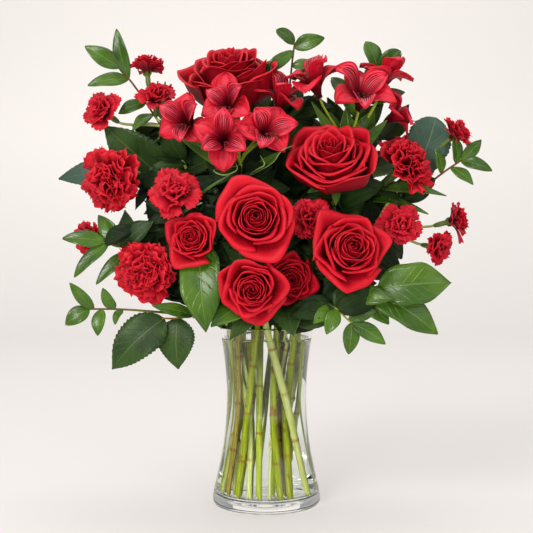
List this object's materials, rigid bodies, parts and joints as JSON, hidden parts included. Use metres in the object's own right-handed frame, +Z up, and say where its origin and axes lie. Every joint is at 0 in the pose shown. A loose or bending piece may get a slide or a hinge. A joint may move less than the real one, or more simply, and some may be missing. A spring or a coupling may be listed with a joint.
{
  "type": "mixed bouquet of carnations, roses and alstroemeria in a glass vase",
  "caption": "Free-standing glass vase of water holding an upright bunch of red carnations, roses and alstroemeria with green foliage.",
  "frame": {"origin": "centre of the vase's flat underside", "axes": "+Z up along the vase's axis, -Y towards the side that the bunch faces, +X to the right as that side is seen"},
  "size_m": [0.4321, 0.2185, 0.4772],
  "materials": {
    "vase_glass": "clear colourless soda glass, smooth and glossy",
    "water": "clear still water",
    "rose_petal": "velvety crimson rose petals with darker folds",
    "carnation_petal": "ruffled matt crimson petals",
    "spray_carnation_petal": "ruffled matt dark crimson petals",
    "alstroemeria_petal": "satin red tepals with pink edges and dark streaks",
    "rose_green": "satin rose stems and toothed green leaves",
    "carnation_green": "bloomed pale grey-green stems, calyces and narrow leaves",
    "alstroemeria_green": "smooth green stems and lance-shaped leaves",
    "foliage": "leathery dark green leaves on red-brown twigs"
  },
  "bodies": {
    "root": {"vase": "vase_glass", "water": "water", "rose_centre_bloom": "rose_petal", "rose_low_centre_bloom": "rose_petal", "rose_right_bloom": "rose_petal", "rose_left_bloom": "rose_petal", "rose_low_right_bloom": "rose_petal", "rose_upper_right_bloom": "rose_petal", "rose_top_left_bloom": "rose_petal", "rose_centre_stem": "rose_green", "rose_low_centre_stem": "rose_green", "rose_right_stem": "rose_green", "rose_left_stem": "rose_green", "rose_low_right_stem": "rose_green", "rose_upper_right_stem": "rose_green", "rose_top_left_stem": "rose_green", "carnation_left_bloom": "carnation_petal", "carnation_low_left_bloom": "carnation_petal", "carnation_right_bloom": "carnation_petal", "carnation_left_stem": "carnation_green", "carnation_low_left_stem": "carnation_green", "carnation_right_stem": "carnation_green", "spray_bloom_top": "spray_carnation_petal", "spray_bloom_far_left": "spray_carnation_petal", "spray_bloom_upper_left": "spray_carnation_petal", "spray_bloom_low_left": "spray_carnation_petal", "spray_bloom_mid_left": "spray_carnation_petal", "spray_bloom_upper_right": "spray_carnation_petal", "spray_bloom_far_right": "spray_carnation_petal", "spray_bloom_low_right": "spray_carnation_petal", "spray_bloom_right": "spray_carnation_petal", "spray_bloom_centre": "spray_carnation_petal", "spray_left_stem": "carnation_green", "spray_mid_left_stem": "carnation_green", "spray_right_stem": "carnation_green", "spray_centre_stem": "carnation_green", "floret_left": "alstroemeria_petal", "floret_mid_left": "alstroemeria_petal", "floret_middle": "alstroemeria_petal", "floret_upper_left": "alstroemeria_petal", "floret_upper_middle": "alstroemeria_petal", "floret_top": "alstroemeria_petal", "floret_upper_right": "alstroemeria_petal", "floret_top_right": "alstroemeria_petal", "floret_right": "alstroemeria_petal", "alstroemeria_left_stem": "alstroemeria_green", "alstroemeria_right_stem": "alstroemeria_green", "greens_top_left": "foliage", "greens_left": "foliage", "greens_low_left": "foliage", "greens_right": "foliage", "greens_low_right": "foliage", "greens_top": "foliage", "greens_top_right": "foliage", "greens_back_left": "foliage", "greens_back": "foliage", "greens_back_right": "foliage"}
  },
  "joints": []
}
